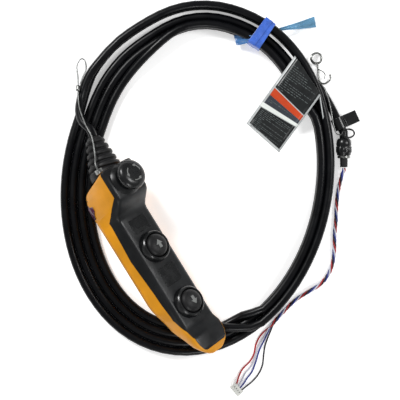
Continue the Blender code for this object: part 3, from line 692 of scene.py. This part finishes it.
plug = connector()
core_lines = {}
for lane, colour in enumerate(CORE_ENDS):
    core_lines[colour] = core_points(lane, colour)
    strand = rope(f"core_strand_{colour}", core_lines[colour], CORE, CORE_COLOURS[colour], resolution=3)
    covered = [f"core_{colour}"] + (["core_bundle"] if colour == "black" else [])
    keep(strand, "root", covered)


# ---------------------------------------------------------------- pendant


def pendant_shells():
    refined("rear_shell", "yellow_rear_shell", YELLOW, "root", 0.5)
    refined("front_shell", "black_front_shell", BLACK, "root", 0.6)
    for node, name in (("contact_carrier", "carrier_plate"), ("terminal_block", "terminals")):
        refined(node, name, BOARD, "root", 0.3)


def boot():
    """The ribbed bell over the cable's inlet."""
    length = BOOT_AXIS.length
    ribs = 5
    pitch = (length - 8) / ribs
    outer = [(4.6, length), (6.6, length), (7.2, length - 1.5)]
    for rib in range(ribs):
        top = length - 2 - rib * pitch
        radius = 8.0 + 8.2 * (rib + 1) / ribs
        outer += [(radius - 2.0, top - 0.4), (radius, top - 1.2), (radius + 0.4, top - pitch + 2.2)]
        outer += [(radius - 1.4, top - pitch + 1.2)]
    outer += [(17.0, 5), (17.0, 0.4), (17.0, -2.5)]
    place = TILT @ placed_along(INLET, BOOT_AXIS)
    bell = turned("ribbed_boot", softened(outer, 0.7), RUBBER, place, sides=80, sharp=60)
    keep(bell, "root", ["cord_boot"])


def arrow(name, body, centre, height, direction, size=5.0):
    """A raised arrow on a button's face."""
    outline = ((0, 1.0), (0.85, 0.0), (0.36, 0.0), (0.36, -0.9), (-0.36, -0.9), (-0.36, 0.0), (-0.85, 0.0))
    bm = bmesh.new()
    face = bm.faces.new([bm.verts.new((x * size, y * size * direction, 0)) for x, y in outline])
    moved = bmesh.ops.extrude_face_region(bm, geom=[face])["geom"]
    bmesh.ops.translate(bm, vec=(0, 0, 1.1), verts=[v for v in moved if isinstance(v, bmesh.types.BMVert)])
    place = TILT @ Matrix.Translation((0, centre, height))
    obj = from_bmesh(bm, name, MARK, place, sharp=30)
    bevelled(obj, 0.2, 2)
    keep(obj, body)


def buttons():
    """Two domed travel buttons, each in its guard ring with a rubber seal between."""
    for side, y, direction in (("up", 1.0, 1), ("down", -63.0, -1)):
        at = TILT @ Matrix.Translation((0, y, 0))
        guard = [(12.4, 31.4), (12.4, 33.6), (12.9, 34.1), (14.2, 34.1), (15.2, 33.0)]
        guard += [(16.0, 28.6), (16.0, 27.3), (12.4, 27.3)]
        ring = turned(f"{side}_guard_ring", guard, SATIN, at, ring=True, sharp=30)
        keep(ring, "root", [f"{side}_guard"])
        cap = [(0, 38.4), (3, 38.3), (6, 37.9), (8.6, 37.1), (10.4, 35.9), (11.3, 34.4)]
        cap += [(11.6, 33), (11.6, 30.6), (10, 30.6), (10, 22.4), (12, 22.4), (12, 20.4), (0, 20.4)]
        dome = turned(f"{side}_button_cap", cap, RUBBER, at, sharp=40)
        keep(dome, f"{side}_key", [f"{side}_button"])
        arrow(f"{side}_arrow", f"{side}_key", y, 37.6, direction, 4.6)
        bellows = [(12.1, 30.2), (12.3, 31.6), (11.9, 32.4), (11.75, 31.4), (11.75, 30.2)]
        seal = turned(f"{side}_seal", bellows, RUBBER, at, ring=True)
        keep(seal, "root")


def stop():
    """The mushroom head with its scalloped grip, on its collar."""
    at = TILT @ Matrix.Translation((0, 72.0, 0))
    collar = ((9.3, 49.5), (12.2, 49.5), (13.4, 49.0), (15.9, 46.8), (16.4, 46.3), (9.3, 46.3))
    ring = turned("stop_collar_ring", collar, SATIN, at, ring=True, sharp=30)
    keep(ring, "root", ["stop_collar"])
    profile = [(0, 63.4), (4, 63.4), (7.6, 63.5), (10.4, 63.0), (12.8, 61.8), (14.4, 60.0), (15.0, 58.0)]
    profile += [(14.7, 56.2), (13.9, 54.6), (13, 54), (8.4, 54), (8.4, 49.2), (0, 49.2)]
    knob = turned("stop_mushroom", profile, SATIN, at, sides=96, sharp=45)
    carve(knob, round_cutters("scallops", at, 17.6, 3.1, 14, 57.5, first=0.5, sides=24))
    bevelled(knob, 0.3, 2)
    keep(knob, "stop_head", ["stop_knob"])
    for i in range(3):
        turn_mark(i, at)


def turn_mark(i, at):
    """One of three curved marks on the knob that show its twist to release."""
    start = math.tau * i / 3
    bm = bmesh.new()
    inner = []
    outer = []
    for k in range(9):
        angle = start + math.radians(9 * k)
        half = 0.45 if k < 6 else (1.5 if k == 6 else 1.5 * (8 - k) / 2)
        for rim, radius in ((inner, 7.6 - half), (outer, 7.6 + half)):
            rim.append(bm.verts.new((radius * math.cos(angle), radius * math.sin(angle), 63.62)))
    for k in range(8):
        ring = [inner[k], inner[k + 1], outer[k + 1], outer[k]]
        bm.faces.new(ring)
    obj = from_bmesh(bm, f"twist_mark_{i + 1}", MARK, at)
    solid = obj.modifiers.new("thickness", "SOLIDIFY")
    solid.thickness = 0.3 * MM
    solid.offset = 0
    keep(obj, "stop_head")


def side_flare(y):
    """How much wider the pendant is at its back than at its front."""
    return (8.0 - 5.0 * blend(y, 64, 76)) * blend(y, -80, -46)


def rear_edge_shade_film():
    """A dark purple film wrapped round the head's rear edge, on the shell's own facets: painted shade, a dark
    sheet laid where that edge is in shade.
    """
    rows = []
    corner = 10.0  # radius of the shell's rear edge, and its centre's height
    proud = 0.35
    for y in (53.5, 58, 61, 65, 69, 73.5):
        flare = side_flare(y)
        wide = 21 + flare
        top = 15.5 - 9.0 * abs(y - 63) / 11
        slope = flare / 31.5
        row = [(-wide + slope * (top - corner) - proud, top), (-wide - proud, corner)]
        for degrees in (210, 240):
            angle = math.radians(degrees)
            reach = corner + proud
            row.append((-wide + corner + reach * math.cos(angle), corner + reach * math.sin(angle)))
        rows.append([TILT @ Vector((x, y, z)) for x, z in row])
    # The film's dark purple is painted shade along the rear edge.
    film = sheet_grid("rear_edge_shade_film", rows, PLATE_AND_SHADE_FILM, 0.12, smooth=0)
    keep(film, "root")


def legend_panels():
    """Two shallow raised panels on the front, one above each travel button."""
    for name, y, length in (("legend_panel", 27.5, 15), ("lower_panel", -30, 20)):
        bm = bmesh.new()
        add_block(bm, (22, length, 0.9), (0, y, 26.9))
        panel = from_bmesh(bm, name, SATIN, TILT, sharp=30)
        bevelled(panel, 0.3, 3)
        keep(panel, "root")


pendant_shells()
boot()
buttons()
stop()
rear_edge_shade_film()
legend_panels()


# ---------------------------------------------------------------- strain relief on the pendant


def relief():
    """The lug on the head, the wire from it, and the crimped eye at the wire's end."""
    anchor = Vector((-16.5, 77 + 0.27 * 38 + 3.6, 38))
    refined("relief_anchor", "relief_lug", STEEL, "root", 0.8)
    start = TILT @ (anchor + Vector((0, 2.9, 0)))
    route = [
        start,
        start + Vector((0.6, 5, -0.6)),
        (16.5, 107, 33.5),
        (22.6, 124, 25.0),
        (23.6, 139, 17.5),
        (26.2, 155, 8.3),
        (30.2, 166, 2.6),
        (33.6, 172.2, 1.7),
    ]
    points = curve_through(route, 3)
    wire = rope("relief_cable", points, 1.4, DULL_STEEL, resolution=3)
    keep(wire, "root", ["relief_line"])
    crimp = Vector((34.0, 172.9, 1.8))
    axis = (Vector((36.8, 177.7, 0.8)) - crimp).normalized()
    profile = [(0, 5.6), (1.7, 5.6), (2.1, 5.1), (2.1, 3.9), (1.6, 3.5)]
    profile += [(1.6, 2.1), (2.1, 1.7), (2.1, 0.5), (1.7, 0), (0, 0)]
    sleeve = turned("crimped_sleeve", profile, STEEL, placed_along(crimp, axis), sides=32)
    keep(sleeve, "root", ["eye_ferrule"])
    eye = [
        (37.3, 178.0, 0.5),
        (41.5, 186.0, -1.6),
        (45.9, 195.4, -3.8),
        (53.0, 199.6, -5.4),
        (55.6, 196.0, -5.2),
        (52.2, 187.6, -1.4),
        (44.4, 182.0, 0.2),
        (39.2, 177.4, 0.6),
    ]
    loop = rope("wire_eye", curve_through(eye, 1.5), 1.4, DULL_STEEL, resolution=3)
    keep(loop, "root", ["eye_loop"])


relief()


# ---------------------------------------------------------------- tie


TIE_BEARING = 33.5


def tie_section():
    """The loop round the bundle's section, as inset and height, clockwise from outside."""
    corners = [(-0.9, 0.6), (-1.0, 8.0), (-0.9, 15.6), (1.0, 17.8), (8.6, 18.1), (20.0, 18.1), (27.4, 17.7)]
    corners += [(29.2, 15.6), (29.4, 9.0), (29.2, 2.2), (27.6, -0.3), (14.0, -0.4), (1.6, -0.3)]
    points = []
    count = len(corners)
    for i in range(count):
        a, b, c, d = (Vector(corners[(i + k) % count]) for k in (-1, 0, 1, 2))
        points += [between(a, b, c, d, k / 4) for k in range(4)]
    return points


def tie():
    """Two laps of flat tape, one over the other, with their soft lengthwise folds."""
    outside = coil_point(TIE_BEARING, -1.2, 0)
    inside = coil_point(TIE_BEARING, TOP_INSET + 2 * CABLE + 2.2, 0)
    across = (outside - inside).normalized()
    along = Vector((-across.y, across.x, 0))
    for lap, (low, high, lift) in enumerate(((-6.4, 2.2, 0.0), (-1.4, 6.6, 0.45))):
        rows = []
        for point in tie_section():
            row = []
            for k in range(13):
                v = low + (high - low) * k / 12 + 0.05 * (point.x - 14) * (1 if lap else -0.4)
                rough = noise.noise(Vector((point.x * 0.12, k * 0.5, lap + 1.5)))
                ripple = 0.22 * math.sin(k * 1.6 + lap * 2) + 0.3 * rough
                spot = outside - across * (point.x + 1.2) + along * v
                spot += across * (lift + 0.5 * abs(ripple)) * (1 - 2 * blend(point.x, 10, 18))
                rise = point.y + 0.35 + (lift + abs(ripple)) * blend(point.y, 2, 9)
                row.append(Vector((spot.x, spot.y, COIL_BOTTOM + rise)))
            rows.append(row)
        band = sheet_grid(f"tape_lap_{lap + 1}", rows, BLUE_TAPE, 0.25, closed=True)
        keep(band, "root", ["coil_tie"])


def tail(name, look, start, end, node, lift):
    """A free end of the tape: a fan of pleated strip from the band to its square cut end."""
    a, b = Vector(start[0]), Vector(start[1])
    c, d = Vector(end[0]), Vector(end[1])
    rows = []
    for i in range(25):
        u = i / 24
        left = a.lerp(d, u)
        right = b.lerp(c, u)
        row = []
        for k in range(17):
            v = k / 16
            rough = noise.noise(Vector((u * 3.0, v * 2.0, a.x)))
            pleat = math.sin(v * 12.6 + 0.6) * (0.9 - 0.55 * u) + 0.5 * rough
            spot = left.lerp(right, v)
            row.append(Vector((spot.x, spot.y, FLOOR + lift(u) + pleat)))
        rows.append(row)
    obj = sheet_grid(name, rows, look, 0.2)
    keep(obj, "root", [node])


def tails():
    tail(
        "tape_tail_inner",
        DARK_TAPE,
        ((213.4, 127.2), (210.6, 121.6)),
        ((193.8, 129.5), (197.0, 140.5)),
        "tie_tail_inner",
        lambda u: 17.8 - 11.0 * blend(u, 0.15, 1.0),
    )
    tail(
        "tape_tail_outer",
        PALE_TAPE,
        ((238.2, 121.8), (239.6, 118.4)),
        ((272.7, 103.1), (276.8, 113.5)),
        "tie_tail_outer",
        lambda u: 9.5 - 6.4 * blend(u, 0.0, 0.7),
    )


tie()
tails()


# ---------------------------------------------------------------- tag


PRINT_LIFT = 0.34  # the printed areas above the card's middle
ROWS_LIFT = 0.42  # and the rows above that
TAG_FRAME = Matrix.Translation((169.8, 37.2, 0)) @ Matrix.Rotation(math.radians(22.6), 4, "Z")
TAG_TOP = COIL_BOTTOM + 2 * CABLE + 0.5
TAG_LINE = (
    (-6.0, FLOOR + 0.4),
    (-0.5, FLOOR + 0.6),
    (8, FLOOR + 1.6),
    (24, FLOOR + 6.7),
    (38, TAG_TOP - 2.8),
    (47, TAG_TOP + 0.3),
    (56, TAG_TOP + 0.9),
    (90, TAG_TOP + 1.1),
)


def tag_height(u, v):
    """Height of the card: its line from the table up onto the coil, with a curl at one corner."""
    for (a, za), (b, zb) in zip(TAG_LINE, TAG_LINE[1:]):
        if u <= b:
            base = za + (zb - za) * (u - a) / (b - a)
            break
    curl = 0.9 * blend(-v, 8, 22) * blend(u, 40, 64)
    return base + 0.25 * math.sin(u * 0.12 + v * 0.1) + 0.3 - curl * 0.6


def tag_patch(name, low, high, sides, look, lift=PRINT_LIFT, thickness=0.1):
    """A printed area: low and high give its ends along the tag at a place across it."""
    columns = 72
    rows = []
    for k in range(13):
        v = sides[0] + (sides[1] - sides[0]) * k / 12
        row = []
        for i in range(columns + 1):
            u = low(v) + (high(v) - low(v)) * i / columns
            row.append(TAG_FRAME @ Vector((u, v, tag_height(u, v) + lift)))
        rows.append(row)
    obj = sheet_grid(name, rows, look, thickness, smooth=0)
    keep(obj, "root")
    return obj


def tag_far(v):
    """Where the card ends on the coil, at a place across it."""
    return 65.5 + (v + 22) / 44 * 17


def tag_near(v):
    """Where it ends on the table."""
    return -4.6 + (v + 22) / 44 * 4.6


def greeked(name, spans, sides, pitch, height, seed):
    """Rows of short bars of uneven length in place of print."""
    pick = random.Random(seed)
    bm = bmesh.new()
    u = spans[0]
    while u < spans[1]:
        v = sides[1] - 0.3 * pick.random()
        while v > sides[0] + 1:
            length = pick.uniform(1.0, 4.2)
            end = max(v - length, sides[0])
            corners = [(u, v), (u + height, v), (u + height, end), (u, end)]
            if u + height < tag_far(min(v, end)) - 3.4:
                bar = [TAG_FRAME @ Vector((a, b, tag_height(a, b) + ROWS_LIFT)) for a, b in corners]
                bm.faces.new([bm.verts.new(spot) for spot in bar])
            v = end - pick.uniform(0.5, 1.1)
            if pick.random() < 0.06:
                break
        u += pitch
    obj = from_bmesh(bm, name, CARD_LINE)
    solid = obj.modifiers.new("thickness", "SOLIDIFY")
    solid.thickness = 0.05 * MM
    keep(obj, "root")


def orange_low(v):
    return 34.6 + 0.087 * v


def orange_high(v):
    return 41.2 + 0.148 * v


def tag():
    """The card, its printed areas from the far end to the near one, their rows, and its folded leaf."""
    wide = (-20.1, 19.7)
    edges = (-22, 22)
    base = tag_patch("card_sheet", tag_near, lambda v: tag_far(v) - 0.8, edges, CARD, 0, 0.4)
    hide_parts("tag")
    tag_patch("print_upper", lambda v: orange_high(v) + 1.0, lambda v: tag_far(v) - 0.2, wide, CARD_BLACK)
    tag_patch("print_band", orange_low, orange_high, wide, CARD_ORANGE)
    tag_patch("print_strip", lambda v: 28.0 - 0.05 * v, lambda v: orange_low(v) - 0.1, wide, CARD_GREY)
    stripe = (-21.8, 21.8)
    tag_patch("print_stripe", lambda v: 24.3 - 0.09 * v, lambda v: 27.8 - 0.05 * v, stripe, CARD_WHITE)
    tag_patch("print_lower", lambda v: tag_near(v) + 2.6, lambda v: 23.6 - 0.09 * v, wide, CARD_BLACK)
    greeked("rows_upper", (45.5, 76), (-17, 17.5), 2.3, 0.6, 3)
    greeked("rows_strip", (30.4, 33.4), (-17.5, 17.5), 1.6, 0.5, 7)
    greeked("rows_lower", (0.8, 21.8), (-17.8, 17.8), 1.7, 0.5, 9)
    leaf_rows = []
    for i in range(13):
        t = i / 12
        u = 63.0 + (47.7 - 63.0) * t
        v = -22.5 + (-37.6 + 22.5) * t
        z = TAG_TOP + 0.9 - 0.5 * t
        leaf_rows.append([TAG_FRAME @ Vector((u + w, v + 0.3 * w, z)) for w in (-1.1, -0.4, 0.4, 1.1)])
    leaf = sheet_grid("card_leaf", leaf_rows, CARD, 0.4, smooth=0)
    keep(leaf, "root", ["tag_leaf"])


tag()


# ---------------------------------------------------------------- ring, hook and relief wire at the hoist end


def hoist_hook():
    """The split ring, the hook with its latch, and the wire to the gland."""
    points = []
    for i in range(81):
        turn = i / 40
        angle = math.tau * turn
        radius = 6.2 - 0.95 * turn
        points.append(RING + Vector((radius * math.cos(angle), radius * math.sin(angle), -1.4 + 1.4 * turn)))
    keep(rope("key_ring", points, 1.5, STEEL, resolution=4), "root", ["split_ring"])
    route = [(-1.0, -3.0), (-3.0, -8.0), (-5.2, -12.4), (-8.0, -18.0), (-9.0, -22.4), (-6.4, -25.6)]
    route += [(-1.6, -26.0), (2.2, -24.0), (3.6, -20.6)]
    low = FLOOR + 1.1
    line = curve_through([(RING.x + x, RING.y + y, low) for x, y in route], 1.2)
    keep(rope("hook_wire", line, 1.9, STEEL, resolution=4), "hook", ["snap_hook"])
    gate = [(-4.4, -9.6), (-1.2, -14.6), (-1.0, -18.4), (-4.0, -21.6)]
    line = curve_through([(RING.x + x, RING.y + y, low + 1.8) for x, y in gate], 1.2)
    keep(rope("hook_gate", line, 1.0, STEEL, resolution=3), "latch", ["hook_latch"])
    high = COIL_BOTTOM + 2 * CABLE + 1.1
    route = [
        (246.0, 46.5, high - 5.5),
        (244.6, 40.0, high - 3.0),
        (240.4, 27.0, high - 1.5),
        (233.6, 10.0, high - 1.0),
        (231.6, 1.0, high - 1.2),
        (234.6, -2.6, high - 0.6),
    ]
    wire = rope("hoist_wire", curve_through(route, 2), 1.3, DULL_STEEL, resolution=3)
    keep(wire, "root", ["relief_wire"])


hoist_hook()


# ---------------------------------------------------------------- gland and clip


def gland():
    """The fluted nut, its lock ring and the cut end of the sheath, along one axis."""
    place = placed_along(GLAND, GLAND_AXIS)
    profile = [(4.5, 17), (6.6, 17), (7.0, 16.4), (7.2, 14.6), (7.9, 13.8), (7.9, 8.6)]
    profile += [(7.2, 7.8), (7.5, 6.6), (7.6, 5.0), (7.0, 1.6), (5.6, 0), (4.5, 0)]
    nut = turned("gland_nut", profile, SATIN, place, ring=True, sides=60)
    carve(nut, round_cutters("flutes", place, 8.5, 1.1, 8, 11.2))
    keep(nut, "root", ["gland_body"])
    washer = [(4.2, 20.0), (6.1, 20.0), (6.5, 19.5), (6.5, 17.8), (6.1, 17.3), (4.2, 17.3)]
    ring = turned("gland_lock_ring", washer, STEEL, place, ring=True, sides=60, sharp=30)
    keep(ring, "root", ["gland_washer"])
    profile = [(0, 29.0), (3.3, 29.0), (3.8, 28.5), (3.75, 25), (3.85, 22), (3.8, 17.6), (0, 17.6)]
    sleeve = turned("core_sheath", softened(profile, 0.3), RUBBER, place, sides=40)
    keep(sleeve, "root", ["core_sleeve"])
    return [nut, ring, sleeve]


def strap():
    """The clip on the cable and its loop, which is bent a little out of its plane."""
    clip = refined("end_strap", "cable_clip", SATIN, "root", 0.5)
    loop = []
    centre = Vector((242.2, -5.2, GLAND.z + 6.2))
    turn = Matrix.Rotation(math.radians(-31.7), 3, "Z")
    for i in range(48):
        angle = math.tau * i / 48
        spot = turn @ Vector((6.0 * math.cos(angle), 4.2 * math.sin(angle), 0))
        loop.append(centre + spot + Vector((0, 0, 0.5 * math.sin(2 * angle))))
    ring = rope("clip_loop", loop, 1.7, SATIN, closed=True, resolution=4)
    keep(ring, "root", ["strap_loop"])
    return [clip, ring]


end_pieces = gland() + strap()


# ---------------------------------------------------------------- floor and light


def studio():
    """A pale floor under soft light from three sides."""
    bm = bmesh.new()
    bmesh.ops.create_grid(bm, x_segments=1, y_segments=1, size=3000)
    floor_look = Shader("floor", (0.92, 0.92, 0.92), 0.8)
    floor_look.mottle(4, (0.915, 0.915, 0.915), (0.925, 0.925, 0.925))
    floor_look.set(Emission_Color=(1, 1, 1, 1), Emission_Strength=0.4)
    floor = from_bmesh(bm, "floor", floor_look, Matrix.Translation((80, 16, FLOOR - 0.15)))
    world = bpy.data.worlds.new("studio")
    bpy.context.scene.world = world
    world.use_nodes = True
    world.node_tree.nodes["Background"].inputs["Color"].default_value = (1, 1, 1, 1)
    world.node_tree.nodes["Background"].inputs["Strength"].default_value = 0.28
    for name, side, up, height, size, power in (
        ("key", -0.7, 0.8, 1.0, 0.35, 15.0),
        ("fill", 0.9, 0.3, 0.9, 0.35, 7.0),
        ("rim", 0.1, -0.9, 0.7, 0.25, 4.0),
    ):
        light = bpy.data.lights.new(name, "AREA")
        light.size = size
        light.energy = power
        lamp = bpy.data.objects.new(name, light)
        bpy.context.scene.collection.objects.link(lamp)
        lamp.location = VIEW_CENTRE + IMAGE_RIGHT * side + IMAGE_UP * up + Vector((0, 0, height))
        lamp.rotation_mode = "QUATERNION"
        lamp.rotation_quaternion = (lamp.location - VIEW_CENTRE).to_track_quat("Z", "Y")


studio()
bpy.context.scene.view_settings.view_transform = "Standard"

bpy.context.view_layer.update()
